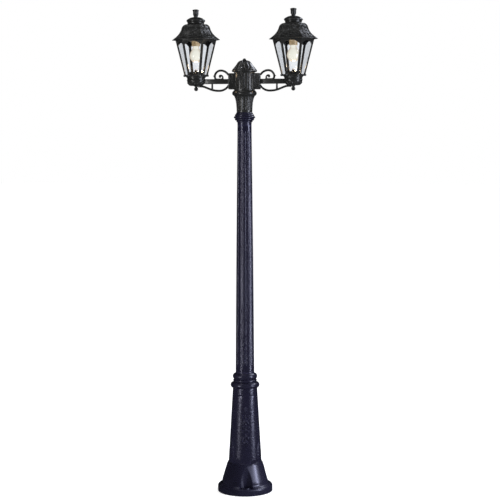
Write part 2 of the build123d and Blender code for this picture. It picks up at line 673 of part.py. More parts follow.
def ogee_profile(inset, floor):
    """Half section of the roof as (apothem, height), offset inwards by inset from floor upwards."""
    eave = EAVE_R * COS30 - inset
    start = floor + 2.6 if inset == 0 else floor
    waist = (57.5 - inset, 2160.0)
    edges = ThreePointArc((eave, start), (73.0 - inset, 2131.0), waist)
    edges += ThreePointArc(waist, (51.0 - inset, 2174.5), (36.0 - inset, ROOF_TOP - inset))
    edges += Line((36.0 - inset, ROOF_TOP - inset), (0, ROOF_TOP - inset))
    edges += Polyline((0, ROOF_TOP - inset), (0, floor), (eave, floor))
    if inset == 0:
        edges += Line((eave, floor), (eave, start))
    return make_face(edges)


def ogee_solid(inset, floor):
    """Where three ogee vaults cross, which gives a six-sided dome with creased corners."""
    half = Plane.XZ * ogee_profile(inset, floor)
    vault = extrude(half, 140, both=True)
    vault += Rot(0, 0, 180) * vault
    dome = None
    for i in range(3):
        turned_vault = Rot(0, 0, 30 + HEX_STEP * i) * vault
        dome = turned_vault if dome is None else dome & turned_vault
    return dome


def roof():
    """Hollow six-sided ogee roof with an inner ledge that rests on the gasket."""
    ledge_low = CAGE_TOP + GASKET_T
    dome = ogee_solid(0, ROOF_LIP) - ogee_solid(ROOF_WALL, ROOF_LIP)
    ledge = extrude(hexagon(100.0, ledge_low), 3.0) - extrude(hexagon(CAGE_TOP_R - 12, ledge_low), 3.0)
    dome += ledge & ogee_solid(1.0, ROOF_LIP)
    return dome - upright(ROD_R + 1.0, ROOF_TOP - 10, ROOF_TOP + 1)


def roof_crown():
    """Round crown on the roof: a neck, a rolled ring and a low cone."""
    low = ROOF_TOP
    outline = Line((ROD_R + 1, low), (36, low))
    outline += ThreePointArc((36, low), (38.5, low + 4), (38.8, low + 10))
    outline += ThreePointArc((38.8, low + 10), (43.4, low + 15.5), (39.8, low + 20.5))
    outline += ThreePointArc((39.8, low + 20.5), (26.5, low + 28.5), (11, CROWN_TOP - 3))
    outline += ThreePointArc((11, CROWN_TOP - 3), (9.8, CROWN_TOP - 1.6), (9.5, CROWN_TOP))
    outline += Polyline((9.5, CROWN_TOP), (ROD_R + 1, CROWN_TOP), (ROD_R + 1, low))
    return turned(outline)


def knob():
    """Ribbed finial knob, bored and threaded for the stud."""
    low = CROWN_TOP
    outline = Line((0, low), (9.4, low))
    outline += ThreePointArc((9.4, low), (9.9, low + 3), (12.6, low + 6.5))
    outline += Line((12.6, low + 6.5), (13.0, low + 24))
    outline += ThreePointArc((13.0, low + 24), (14.8, low + 27), (14.0, low + 30.5))
    outline += domed((14.0, low + 30.5), KNOB_TOP)
    outline += Line((0, KNOB_TOP), (0, low))
    body = turned(outline)
    for i in range(12):
        body -= Rot(0, 0, 30 * i) * Pos(13.9, 0, 0) * upright(1.9, low + 7, low + 23)
    return body - upright(ROD_R + MOVING_GAP, low, 2238)


# ---- writing ------------------------------------------------------------------------------------

POST = {
    "base_plate": base_plate,
    "core_tube": core_tube,
    "base_bell": base_bell,
    "pedestal": pedestal,
    "mid_collar": mid_collar,
    "shaft": shaft,
    "top_collar": top_collar,
    "head_socket": head_socket,
    "grub_screws": grub_screws,
    "hub_body": hub_body,
    "terminal_block": terminal_block,
    "hub_cap": hub_cap,
    "cap_screw": cap_screw,
}
ARM = {
    "bracket_plate": bracket_plate,
    "bracket_screws": bracket_screws,
    "arm_bar": arm_bar,
    "upper_scroll": upper_scroll,
    "lower_brace": lower_brace,
}
LANTERN = {
    "drop_ball": drop_ball,
    "tie_rod": tie_rod,
    "foot_nut": foot_nut,
    "lantern_foot": lantern_foot,
    "cage": cage,
    "panes": panes,
    "gasket": gasket,
    "bridge": bridge,
    "stud": stud,
    "lampholder": lampholder,
    "bulb_glass": bulb_glass,
    "bulb_cap": bulb_cap,
    "bulb_filament": bulb_filament,
    "roof": roof,
    "roof_crown": roof_crown,
    "knob": knob,
}

for part_name, make in POST.items():
    write(part_name, make())

for part_name, make in ARM.items():
    right = make()
    write(f"right_{part_name}", right)
    write(f"left_{part_name}", mirror(right, about=Plane.YZ))

for part_name, make in LANTERN.items():
    piece = make()
    write(f"right_{part_name}", Pos(ARM_REACH, 0, 0) * piece)
    write(f"left_{part_name}", Pos(-ARM_REACH, 0, 0) * piece)

right_cup = Pos(ARM_REACH, 0, 0) * cup() - bar_envelope()
write("right_cup", right_cup)
write("left_cup", mirror(right_cup, about=Plane.YZ))
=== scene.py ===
"""Looks of the two-lantern street lamp post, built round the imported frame. Metres, +Z up."""

import bisect
import json
import math

import bmesh
import bpy
from mathutils import Matrix, Vector
from mathutils.bvhtree import BVHTree


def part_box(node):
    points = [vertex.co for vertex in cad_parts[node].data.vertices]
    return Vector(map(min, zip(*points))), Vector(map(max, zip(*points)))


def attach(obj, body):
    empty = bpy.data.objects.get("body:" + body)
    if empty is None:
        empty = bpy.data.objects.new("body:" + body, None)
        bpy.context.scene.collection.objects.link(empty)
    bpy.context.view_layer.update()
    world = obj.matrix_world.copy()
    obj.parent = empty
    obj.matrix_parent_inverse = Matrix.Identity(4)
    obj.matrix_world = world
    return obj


MM = 0.001
SIDES = ("left", "right")
WHITE = (1.0, 1.0, 1.0)
COOL = (0.84, 0.88, 1.0)
WARM = (1.0, 0.72, 0.45)

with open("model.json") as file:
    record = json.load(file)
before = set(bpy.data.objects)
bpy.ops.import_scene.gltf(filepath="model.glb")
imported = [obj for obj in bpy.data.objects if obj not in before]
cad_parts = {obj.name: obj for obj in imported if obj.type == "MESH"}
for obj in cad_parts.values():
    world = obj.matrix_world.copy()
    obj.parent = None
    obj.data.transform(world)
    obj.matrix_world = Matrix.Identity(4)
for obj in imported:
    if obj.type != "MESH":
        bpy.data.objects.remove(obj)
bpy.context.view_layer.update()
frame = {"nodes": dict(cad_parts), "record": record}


# ---- camera, floor and light --------------------------------------------------------------------

CAMERA_DISTANCE = 6.3
CAMERA_HEIGHT = 1.6716
CAMERA_AZIMUTH = 9.0      # degrees to the right of the front
CAMERA_PITCH = 4.846      # degrees down
CAMERA_ROLL = 0.09
CAMERA_ASIDE = 0.222      # degrees between the line of sight and the post's axis
CAMERA_LENS = 97.66       # mm, as is the sensor
SENSOR_WIDTH = 36.0
SIGHT_REACH = 200.0
FLOOR_REACH = 40.0

# name: degrees round from the camera, height, distance, (width, height), radiance, degrees down, colour
SOFTBOXES = {
    "strip_left": (-47.0, 1.1, 3.2, (0.30, 2.0), 22.0, 0.0, WHITE),
    "strip_right": (64.0, 1.3, 3.2, (0.45, 3.0), 22.0, 0.0, COOL),
    "shaft_right": (74.0, 1.1, 3.2, (0.50, 2.6), 20.0, 0.0, COOL),
    "bell_wide": (42.0, 1.3, 3.3, (3.4, 1.0), 2.4, 14.0, COOL),
    "bell_near": (62.0, 1.3, 3.2, (2.6, 1.2), 2.0, 14.0, COOL),
    "back_right": (128.0, 4.1, 3.2, (1.6, 1.2), 15.0, 36.0, COOL),
    "head_front": (4.0, 4.4, 1.3, (2.0, 0.6), 1.2, 60.0, WHITE),
    "head_left": (-75.0, 4.4, 1.3, (1.2, 0.7), 3.6, 60.0, WHITE),
}
# softboxes that reach all nodes but one, or only one
KEPT_OFF = {"strip_left": "base_bell", "strip_right": "shaft"}
KEPT_TO = {"shaft_right": "shaft", "bell_wide": "base_bell", "bell_near": "base_bell"}

GLOW_POWER = 0.5
GLOW_R = 12 * MM
GLOW_DROP = 14 * MM       # below the bulb's glass


def make_camera():
    """The camera stands a little right of the front and looks slightly down."""
    data = bpy.data.cameras.new("camera")
    data.lens = CAMERA_LENS
    data.sensor_width = SENSOR_WIDTH
    data.clip_end = SIGHT_REACH
    camera = bpy.data.objects.new("camera", data)
    bpy.context.scene.collection.objects.link(camera)
    azimuth = math.radians(CAMERA_AZIMUTH)
    turn = Matrix.Rotation(azimuth - math.radians(CAMERA_ASIDE), 4, "Z")
    tilt = Matrix.Rotation(math.radians(90.0 - CAMERA_PITCH), 4, "X")
    roll = Matrix.Rotation(-math.radians(CAMERA_ROLL), 4, "Z")
    place = Matrix.Translation((CAMERA_DISTANCE * math.sin(azimuth),
                                -CAMERA_DISTANCE * math.cos(azimuth), CAMERA_HEIGHT))
    camera.matrix_world = place @ turn @ tilt @ roll
    bpy.context.scene.camera = camera


def make_softbox(name, azimuth, height, distance, size, radiance, tilt, colour):
    """A rectangular softbox at an azimuth in degrees from the front, facing the post's axis."""
    data = bpy.data.lights.new(name, "AREA")
    data.shape = "RECTANGLE"
    data.size, data.size_y = size
    data.energy = radiance * math.pi * size[0] * size[1]
    data.color = colour
    light = bpy.data.objects.new(name, data)
    bpy.context.scene.collection.objects.link(light)
    a = math.radians(azimuth)
    turn = Matrix.Rotation(a, 4, "Z") @ Matrix.Rotation(math.radians(90.0 - tilt), 4, "X")
    place = Matrix.Translation((distance * math.sin(a), -distance * math.cos(a), height))
    light.matrix_world = place @ turn
    return light


def link_light(light, node, state):
    """Keep a softbox to one CAD node (INCLUDE), or off it (EXCLUDE)."""
    group = bpy.data.collections.new(light.name + "_reach")
    group.objects.link(frame["nodes"][node])
    for row in group.collection_objects:
        row.light_linking.link_state = state
    light.light_linking.receiver_collection = group


def make_glow(side):
    """A small warm light under a lantern's bulb, for the glow on the lantern's floor."""
    data = bpy.data.lights.new(side + "_glow", "POINT")
    data.energy, data.shadow_soft_size = GLOW_POWER, GLOW_R
    data.color = WARM
    glow = bpy.data.objects.new(side + "_glow", data)
    low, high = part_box(side + "_bulb_glass")
    glow.location = ((low.x + high.x) / 2, (low.y + high.y) / 2, low.z - GLOW_DROP)
    glow.visible_camera = False
    bpy.context.scene.collection.objects.link(glow)


def make_world():
    """A white room to the camera, a soft grey one as light, and a dark one in reflections."""
    world = bpy.data.worlds.new("studio")
    bpy.context.scene.world = world
    world.use_nodes = True
    nodes, links = world.node_tree.nodes, world.node_tree.links
    nodes.clear()
    path = nodes.new("ShaderNodeLightPath")
    out = nodes.new("ShaderNodeOutputWorld")

    def room(strength, colour=WHITE):
        """An even room of that strength and colour."""
        node = nodes.new("ShaderNodeBackground")
        node.inputs["Color"].default_value = (*colour, 1.0)
        node.inputs["Strength"].default_value = strength
        return node.outputs[0]

    seen, soft, reflected = room(1.0), room(0.75), room(0.03, (0.85, 0.9, 1.0))
    lit = mix_shaders(nodes, links, path.outputs["Is Diffuse Ray"], seen, soft)
    whole = mix_shaders(nodes, links, path.outputs["Is Glossy Ray"], lit, reflected)
    links.new(whole, out.inputs["Surface"])


def make_floor():
    """A plain pale floor, dark in reflections."""
    mesh = bpy.data.meshes.new("floor")
    corners = [(x * FLOOR_REACH, y * FLOOR_REACH, 0) for x, y in ((-1, -1), (1, -1), (1, 1), (-1, 1))]
    mesh.from_pydata(corners, [], [(0, 1, 2, 3)])
    floor = bpy.data.objects.new("floor", mesh)
    bpy.context.scene.collection.objects.link(floor)
    mat, shader, nodes, links = new_material("floor_paint")
    shader.inputs["Base Color"].default_value = (0.93, 0.93, 0.93, 1.0)
    shader.inputs["Roughness"].default_value = 0.9
    shader.inputs["Specular IOR Level"].default_value = 0.1
    shader.inputs["Emission Color"].default_value = (1.0, 1.0, 1.0, 1.0)
    shader.inputs["Emission Strength"].default_value = 0.35
    path = nodes.new("ShaderNodeLightPath")
    dark = nodes.new("ShaderNodeBsdfDiffuse")
    dark.inputs["Color"].default_value = (0.03, 0.03, 0.035, 1.0)
    whole = mix_shaders(nodes, links, path.outputs["Is Glossy Ray"], shader.outputs[0], dark.outputs[0])
    links.new(whole, nodes["Material Output"].inputs["Surface"])
    mesh.materials.append(mat)


def make_studio():
    """Camera, room, floor and lights."""
    bpy.context.scene.view_settings.view_transform = "Standard"
    make_camera()
    make_world()
    make_floor()
    for name, (azimuth, height, distance, size, radiance, tilt, colour) in SOFTBOXES.items():
        light = make_softbox(name, CAMERA_AZIMUTH + azimuth, height, distance, size, radiance, tilt, colour)
        if name in KEPT_OFF:
            link_light(light, KEPT_OFF[name], "EXCLUDE")
        if name in KEPT_TO:
            link_light(light, KEPT_TO[name], "INCLUDE")
    for side in SIDES:
        make_glow(side)


# ---- materials ----------------------------------------------------------------------------------

def new_material(name):
    """A Principled material, with its shader, nodes and links."""
    mat = bpy.data.materials.new(name)
    mat.use_nodes = True
    nodes, links = mat.node_tree.nodes, mat.node_tree.links
    return mat, nodes["Principled BSDF"], nodes, links


def noise(nodes, links, scale, detail=4.0, roughness=0.55, stretch=(1, 1, 1)):
    """Noise in object space, in cycles per metre."""
    coords = nodes.new("ShaderNodeTexCoord")
    mapping = nodes.new("ShaderNodeMapping")
    mapping.inputs["Scale"].default_value = stretch
    texture = nodes.new("ShaderNodeTexNoise")
    texture.inputs["Scale"].default_value = scale
    texture.inputs["Detail"].default_value = detail
    texture.inputs["Roughness"].default_value = roughness
    links.new(coords.outputs["Object"], mapping.inputs["Vector"])
    links.new(mapping.outputs["Vector"], texture.inputs["Vector"])
    return texture.outputs["Fac"]


def spread(nodes, links, value, low=0.0, high=1.0, start=0.3, end=0.7):
    """A value's range start to end mapped to low to high."""
    node = nodes.new("ShaderNodeMapRange")
    node.inputs["From Min"].default_value = start
    node.inputs["From Max"].default_value = end
    node.inputs["To Min"].default_value = low
    node.inputs["To Max"].default_value = high
    links.new(value, node.inputs["Value"])
    return node.outputs["Result"]


def blend_colours(nodes, links, factor, first, second):
    """Two colours mixed by a factor. The first may be another node's output."""
    node = nodes.new("ShaderNodeMix")
    node.data_type = "RGBA"
    if isinstance(first, bpy.types.NodeSocket):
        links.new(first, node.inputs[6])
    else:
        node.inputs[6].default_value = (*first, 1.0)
    node.inputs[7].default_value = (*second, 1.0)
    links.new(factor, node.inputs[0])
    return node.outputs[2]


def mix_shaders(nodes, links, factor, first, second):
    """Two shaders mixed by a factor."""
    node = nodes.new("ShaderNodeMixShader")
    links.new(factor, node.inputs["Fac"])
    links.new(first, node.inputs[1])
    links.new(second, node.inputs[2])
    return node.outputs[0]


def bump(nodes, links, height, distance, strength=1.0, under=None):
    """A bump of that depth in metres, on top of another bump."""
    node = nodes.new("ShaderNodeBump")
    node.inputs["Strength"].default_value = strength
    node.inputs["Distance"].default_value = distance
    links.new(height, node.inputs["Height"])
    if under is not None:
        links.new(under, node.inputs["Normal"])
    return node.outputs["Normal"]


def moulded_resin(name, colour, drift_tone_and_edge_highlight, rough, grain, grain_depth, tint=WHITE):
    """Dark moulded resin: slow colour drift, painted highlights on its sharp edges, a satin skin and an
    orange-peel grain.
    """
    mat, shader, nodes, links = new_material(name)
    drift = noise(nodes, links, scale=9.0, detail=3.0)
    peel = noise(nodes, links, scale=grain, detail=2.0, roughness=0.5)
    fine = noise(nodes, links, scale=5.0 * grain, detail=3.0, roughness=0.6)
    body = blend_colours(nodes, links, spread(nodes, links, drift), colour, drift_tone_and_edge_highlight)
    shape = nodes.new("ShaderNodeNewGeometry")
    # Painted highlight: sharp edges (high pointiness) get a colour 3.2 times the second tone.
    edge_highlight_mask = spread(nodes, links, shape.outputs["Pointiness"], high=0.6, start=0.52, end=0.62)
    colour_with_edge_highlight = blend_colours(nodes, links, edge_highlight_mask, body, tuple(3.2 * c for c in drift_tone_and_edge_highlight))
    links.new(colour_with_edge_highlight, shader.inputs["Base Color"])
    links.new(spread(nodes, links, peel, rough - 0.06, rough + 0.10), shader.inputs["Roughness"])
    swell = bump(nodes, links, peel, grain_depth, strength=0.8)
    skin = bump(nodes, links, fine, 0.15 * grain_depth, strength=0.5, under=swell)
    links.new(skin, shader.inputs["Normal"])
    shader.inputs["IOR"].default_value = 1.5
    shader.inputs["Specular Tint"].default_value = (*tint, 1.0)
    return mat


def plated_steel(name, colour, rough, scratch):
    """Plated steel with fine drawn scratches and a mottled zinc bloom."""
    mat, shader, nodes, links = new_material(name)
    bloom = noise(nodes, links, scale=120.0, detail=6.0, roughness=0.65)
    lines = noise(nodes, links, scale=scratch, detail=2.0, roughness=0.5, stretch=(1, 1, 0.05))
    dull = tuple(0.7 * c for c in colour)
    links.new(blend_colours(nodes, links, spread(nodes, links, bloom), colour, dull),
              shader.inputs["Base Color"])
    links.new(spread(nodes, links, bloom, rough - 0.06, rough + 0.1), shader.inputs["Roughness"])
    links.new(bump(nodes, links, lines, 0.05 * MM, strength=0.5), shader.inputs["Normal"])
    shader.inputs["Metallic"].default_value = 1.0
    return mat


def clear_pane(name):
    """Clear moulded pane: mostly lets the room through, with gloss and faint flow waves."""
    mat, shader, nodes, links = new_material(name)
    nodes.remove(shader)
    through = nodes.new("ShaderNodeBsdfTransparent")
    haze = noise(nodes, links, scale=14.0, detail=2.0, roughness=0.5, stretch=(1, 1, 0.4))
    tone = blend_colours(nodes, links, spread(nodes, links, haze),
                         (0.975, 0.982, 0.992), (0.955, 0.967, 0.984))
    links.new(tone, through.inputs["Color"])
    gloss = nodes.new("ShaderNodeBsdfGlossy")
    gloss.inputs["Roughness"].default_value = 0.06
    gloss.inputs["Color"].default_value = (0.9, 0.95, 1.0, 1.0)
    links.new(bump(nodes, links, haze, 0.4 * MM, strength=0.3), gloss.inputs["Normal"])
    facing = nodes.new("ShaderNodeLayerWeight")
    facing.inputs["Blend"].default_value = 0.12
    share = spread(nodes, links, facing.outputs["Facing"], 0.03, 0.45, start=0.0, end=1.0)
    whole = mix_shaders(nodes, links, share, through.outputs[0], gloss.outputs[0])
    links.new(whole, nodes["Material Output"].inputs["Surface"])
    return mat


def lit_glass(name):
    """The lit bulb's envelope: pearl glass that glows cream, browner and clearer towards its edge."""
    mat, shader, nodes, links = new_material(name)
    pearl = noise(nodes, links, scale=90.0, detail=3.0)
    edge = nodes.new("ShaderNodeLayerWeight")
    edge.inputs["Blend"].default_value = 0.5
    ring = spread(nodes, links, edge.outputs["Facing"], start=0.16, end=0.90)
    glow = blend_colours(nodes, links, ring, (1.0, 0.985, 0.86), (0.42, 0.30, 0.19))
    links.new(glow, shader.inputs["Emission Color"])
    shader.inputs["Emission Strength"].default_value = 0.85
    shader.inputs["Base Color"].default_value = (0.12, 0.11, 0.09, 1.0)
    links.new(spread(nodes, links, pearl, 0.05, 0.12), shader.inputs["Roughness"])
    through = nodes.new("ShaderNodeBsdfTransparent")
    clear = spread(nodes, links, ring, high=0.62, start=0.2, end=1.0)
    whole = mix_shaders(nodes, links, clear, shader.outputs[0], through.outputs[0])
    links.new(whole, nodes["Material Output"].inputs["Surface"])
    return mat


def glazed_ceramic(name):
    """Tan glazed lampholder with brown speckle and a glossy skin, with a weak warm emission as painted
    light from the bulb.
    """
    mat, shader, nodes, links = new_material(name)
    speckle = noise(nodes, links, scale=900.0, detail=2.0)
    cloud = noise(nodes, links, scale=40.0)
    links.new(blend_colours(nodes, links, spread(nodes, links, speckle, start=0.5, end=0.72),
                            (0.42, 0.31, 0.17), (0.2, 0.13, 0.07)), shader.inputs["Base Color"])
    # Painted light: a weak warm emission stands in for the bulb's light falling on the holder.
    shader.inputs["Emission Color"].default_value = (0.36, 0.25, 0.13, 1.0)
    shader.inputs["Emission Strength"].default_value = 0.25
    links.new(spread(nodes, links, cloud, 0.2, 0.4), shader.inputs["Roughness"])
    links.new(bump(nodes, links, cloud, 0.2 * MM, strength=0.4), shader.inputs["Normal"])
    return mat


def soft_rubber(name):
    """Matte black seal with a dusty bloom."""
    mat, shader, nodes, links = new_material(name)
    dust = noise(nodes, links, scale=220.0, detail=5.0)
    links.new(blend_colours(nodes, links, spread(nodes, links, dust),
                            (0.012, 0.012, 0.012), (0.03, 0.03, 0.028)), shader.inputs["Base Color"])
    links.new(spread(nodes, links, dust, 0.7, 0.95), shader.inputs["Roughness"])
    links.new(bump(nodes, links, dust, 0.2 * MM, strength=0.5), shader.inputs["Normal"])
    return mat


def glowing_filament(name):
    """A lit filament: bright with a darker grain along it."""
    mat, shader, nodes, links = new_material(name)
    grain = noise(nodes, links, scale=700.0, detail=2.0)
    links.new(blend_colours(nodes, links, spread(nodes, links, grain),
                            (1.0, 0.82, 0.5), (1.0, 0.62, 0.25)), shader.inputs["Emission Color"])
    shader.inputs["Emission Strength"].default_value = 4.0
    return mat


def make_materials():
    """Every material by the record's slot name, with the bell's and shaft's own smoother skins."""
    # The second tone of each set gives the random colour drift and, 3.2 times brighter, the painted
    # highlight on sharp edges.
    post = {"colour": (0.0060, 0.0055, 0.0140), "drift_tone_and_edge_highlight": (0.0090, 0.0085, 0.0190), "tint": (0.80, 0.80, 1.0)}
    head = {"colour": (0.0085, 0.0088, 0.0085), "drift_tone_and_edge_highlight": (0.0135, 0.0135, 0.0130)}
    ivory = {"colour": (0.6, 0.58, 0.5), "drift_tone_and_edge_highlight": (0.5, 0.48, 0.4), "rough": 0.4}
    recipes = {
        "post_resin": (moulded_resin, {**post, "rough": 0.22, "grain": 210.0, "grain_depth": 0.90 * MM}),
        "bell_resin": (moulded_resin, {**post, "rough": 0.26, "grain": 300.0, "grain_depth": 0.16 * MM}),
        "shaft_resin": (moulded_resin, {**post, "rough": 0.19, "grain": 260.0, "grain_depth": 0.50 * MM}),
        "head_resin": (moulded_resin, {**head, "rough": 0.26, "grain": 700.0, "grain_depth": 0.18 * MM}),
        "terminal_plastic": (moulded_resin, {**ivory, "grain": 700.0, "grain_depth": 0.05 * MM}),
        "zinc_steel": (plated_steel, {"colour": (0.62, 0.63, 0.65), "rough": 0.34, "scratch": 900.0}),
        "bright_screw": (plated_steel, {"colour": (0.9, 0.9, 0.92), "rough": 0.16, "scratch": 1200.0}),
        "dark_nut": (plated_steel, {"colour": (0.05, 0.05, 0.06), "rough": 0.4, "scratch": 900.0}),
        "bulb_cap_metal": (plated_steel, {"colour": (0.75, 0.74, 0.70), "rough": 0.3, "scratch": 800.0}),
        "clear_pane": (clear_pane, {}),
        "seal_rubber": (soft_rubber, {}),
        "holder_ceramic": (glazed_ceramic, {}),
        "bulb_envelope": (lit_glass, {}),
        "bulb_light": (glowing_filament, {}),
    }
    return {name: make(name, **values) for name, (make, values) in recipes.items()}


# ---- CAD pieces ---------------------------------------------------------------------------------

OWN_SKINS = {"base_bell": "bell_resin", "mid_collar": "bell_resin", "top_collar": "bell_resin",
             "shaft": "shaft_resin"}
UNROUNDED = ("panes", "bulb_glass", "shaft")
WELD_GAP = 0.01 * MM
EDGE_ROUND = 0.4 * MM
EDGE_ANGLE = 32.0         # degrees, from which an edge counts as sharp


def dress_cad_nodes(materials):
    """Each CAD node gets its slot's material or its own skin, and its sharp edges a small round."""
    slots = {row["node"]: row["material_slot"] for row in frame["record"]["subparts"]}
    for name, node in frame["nodes"].items():
        node.data.materials.clear()
        node.data.materials.append(materials[OWN_SKINS.get(name, slots[name])])
        for face in node.data.polygons:
            face.use_smooth = True
        if name.endswith(UNROUNDED):
            continue
        weld = node.modifiers.new("weld", "WELD")
        weld.merge_threshold = WELD_GAP
        edge = node.modifiers.new("edge", "BEVEL")
        edge.width = EDGE_ROUND
        edge.segments = 2
        edge.limit_method = "ANGLE"
        edge.angle_limit = math.radians(EDGE_ANGLE)
        edge.harden_normals = True


# ---- relief: raised ornament laid on CAD surfaces -----------------------------------------------

SUNK = 0.6 * MM           # how far a relief's edge lies under the CAD surface
SLOPE_STEP = 1.2 * MM     # how far to each side a surface is sampled for its slope
PROFILE_STEPS = 90
RAY_START = 0.2           # a ray starts this far out from the axis, which is outside every node
RIB_SIDES = 6             # facets over a rib's half round
RIB_TAPER = 0.28          # share of a rib's length that narrows towards each end
LEAF_COLUMNS = 10
LOBE_DEPTH = 0.26         # share of a leaf's half width
BEAD_RINGS = 7
BEAD_SIDES = 14
BEAD_TOP = 84.375         # degrees up a bead's side to the rim of its flat top


class Shell:
    """Collects closed patches of mesh into one piece."""

    def __init__(self):
        self.points = []
        self.faces = []

    def rings(self, rings):
        """A closed skin through equal rings of points, with a flat face at each end."""
        start, count = len(self.points), len(rings[0])
        for ring in rings:
            self.points += [tuple(p) for p in ring]
        for i in range(len(rings) - 1):
            for j in range(count):
                a, b = start + i * count + j, start + i * count + (j + 1) % count
                self.faces.append((a, b, b + count, a + count))
        self.faces.append(tuple(start + j for j in reversed(range(count))))
        last = start + (len(rings) - 1) * count
        self.faces.append(tuple(last + j for j in range(count)))

    def piece(self, name, material, body, slot):
        """The finished piece, riding on a body."""
        mesh = bpy.data.meshes.new(name)
        mesh.from_pydata(self.points, [], self.faces)
        mesh.validate()
        for face in mesh.polygons:
            face.use_smooth = True
        mesh.materials.append(material)
        piece = bpy.data.objects.new(name, mesh)
        bpy.context.scene.collection.objects.link(piece)
        fix = bmesh.new()
        fix.from_mesh(mesh)
        bmesh.ops.recalc_face_normals(fix, faces=fix.faces)
        fix.to_mesh(mesh)
        fix.free()
        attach(piece, body)
        return piece


class Surface:
    """Maps (across, along) in metres onto a CAD node's surface round one upright axis.

    Along is the length of the profile from its low end. A flat surface is looked at squarely,
    a round one towards the axis.
    """

    def __init__(self, node, axis_x, angle, low, high, flat=False):
        mesh = frame["nodes"][node].data
        self.tree = BVHTree.FromPolygons([v.co.copy() for v in mesh.vertices],
                                         [list(face.vertices) for face in mesh.polygons])
        self.axis = Vector((axis_x, 0.0, 0.0))
        self.angle, self.flat = math.radians(angle), flat
        self.heights, self.radii, self.lengths = [], [], [0.0]
        for i in range(PROFILE_STEPS + 1):
            height = low + (high - low) * i / PROFILE_STEPS
            hit = self.cast(0.0, height, 0.0)
            self.heights.append(height)
            self.radii.append(((hit - self.axis) * Vector((1, 1, 0))).length)
        for i in range(PROFILE_STEPS):
            step = math.hypot(self.heights[i + 1] - self.heights[i], self.radii[i + 1] - self.radii[i])
            self.lengths.append(self.lengths[-1] + step)
        self.length = self.lengths[-1]

    def cast(self, turn, height, aside):
        """Where a level line towards the axis meets the surface."""
        angle = self.angle + turn
        outward = Vector((math.cos(angle), math.sin(angle), 0.0))
        level = self.axis + Vector((-outward.y, outward.x, 0.0)) * aside + Vector((0, 0, height))
        hit = self.tree.ray_cast(level + outward * RAY_START, -outward, RAY_START)[0]
        return hit if hit is not None else level

    def ring(self, along):
        """Height and radius at a length along the profile."""
        along = min(max(along, 0.0), self.length)
        i = min(bisect.bisect_right(self.lengths, along), len(self.lengths) - 1)
        part = (along - self.lengths[i - 1]) / max(self.lengths[i] - self.lengths[i - 1], 1e-9)
        height = self.heights[i - 1] + part * (self.heights[i] - self.heights[i - 1])
        return height, self.radii[i - 1] + part * (self.radii[i] - self.radii[i - 1])

    def point(self, across, along):
        """The place on the surface."""
        height, radius = self.ring(along)
        if self.flat:
            return self.cast(0.0, height, across)
        return self.cast(across / max(radius, 2 * MM), height, 0.0)

    def normal(self, across, along):
        """The surface's outward direction there."""
        right = self.point(across + SLOPE_STEP, along) - self.point(across - SLOPE_STEP, along)
        up = self.point(across, along + SLOPE_STEP) - self.point(across, along - SLOPE_STEP)
        normal = right.cross(up)
        return normal.normalized() if normal.length > 1e-12 else Vector((0, 0, 1))


def trimmed(node, foot, top):
    """A CAD node's lowest and highest heights, less a bare strip at its foot and top."""
    low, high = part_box(node)
    return low.z + foot, high.z - top


def direction(degrees):
    """A unit step on a surface, turned from across towards along."""
    a = math.radians(degrees)
    return Vector((math.cos(a), math.sin(a)))


def straight(start, end, count):
    """Evenly spaced points on a line."""
    start, end = Vector(start), Vector(end)
    return [start + (end - start) * (k / (count - 1)) for k in range(count)]


def bend(middle, heading, length, curvatures, count=40):
    """A curve through its middle point, with curvatures (1/mm) spaced evenly from start to end."""
    def half(sign):
        """The points from the middle to the end (1) or to the start (-1)."""
        at, angle, out = Vector(middle), math.radians(heading), []
        for i in range(count // 2):
            t = 0.5 + sign * (i + 0.5) / count
            place = t * (len(curvatures) - 1)
            k = min(int(place), len(curvatures) - 2)
            curvature = curvatures[k] + (place - k) * (curvatures[k + 1] - curvatures[k])
            step = length / count
            angle += sign * curvature / MM * step
            at = at + Vector((math.cos(angle), math.sin(angle))) * (sign * step)
            out.append(at)
        return out
    return list(reversed(half(-1))) + [Vector(middle)] + half(1)


def mirrored(path):
    """The path on the other side of the middle line."""
    return [Vector((-p[0], p[1])) for p in path]


def stroke(shell, surface, path, width, height, thin=0.25, inside=None):
    """A half-round rib along a path. Thin is how much of its width its ends keep."""
    path = [p for p in path if inside is None or inside(p[0], p[1])]
    if len(path) < 3:
        return
    rings, last = [], len(path) - 1
    for i, p in enumerate(path):
        before, after = path[max(i - 1, 0)], path[min(i + 1, last)]
        here = surface.point(p[0], p[1])
        normal = surface.normal(p[0], p[1])
        ahead = surface.point(after[0], after[1]) - surface.point(before[0], before[1])
        side = normal.cross(ahead).normalized()
        ends = min(i, last - i) / max(RIB_TAPER * last, 1.0)
        size = thin + (1.0 - thin) * math.sin(min(ends, 1.0) * math.pi / 2)
        rise = height * (0.25 + 0.75 * size)
        ring = [here + side * (0.5 * width * size) - normal * SUNK]
        for k in range(1, RIB_SIDES):
            a = math.pi * k / RIB_SIDES
            ring.append(here + side * (0.5 * width * size * math.cos(a)) + normal * (rise * math.sin(a)))
        ring.append(here - side * (0.5 * width * size) - normal * SUNK)
        rings.append(ring)
    shell.rings(rings)


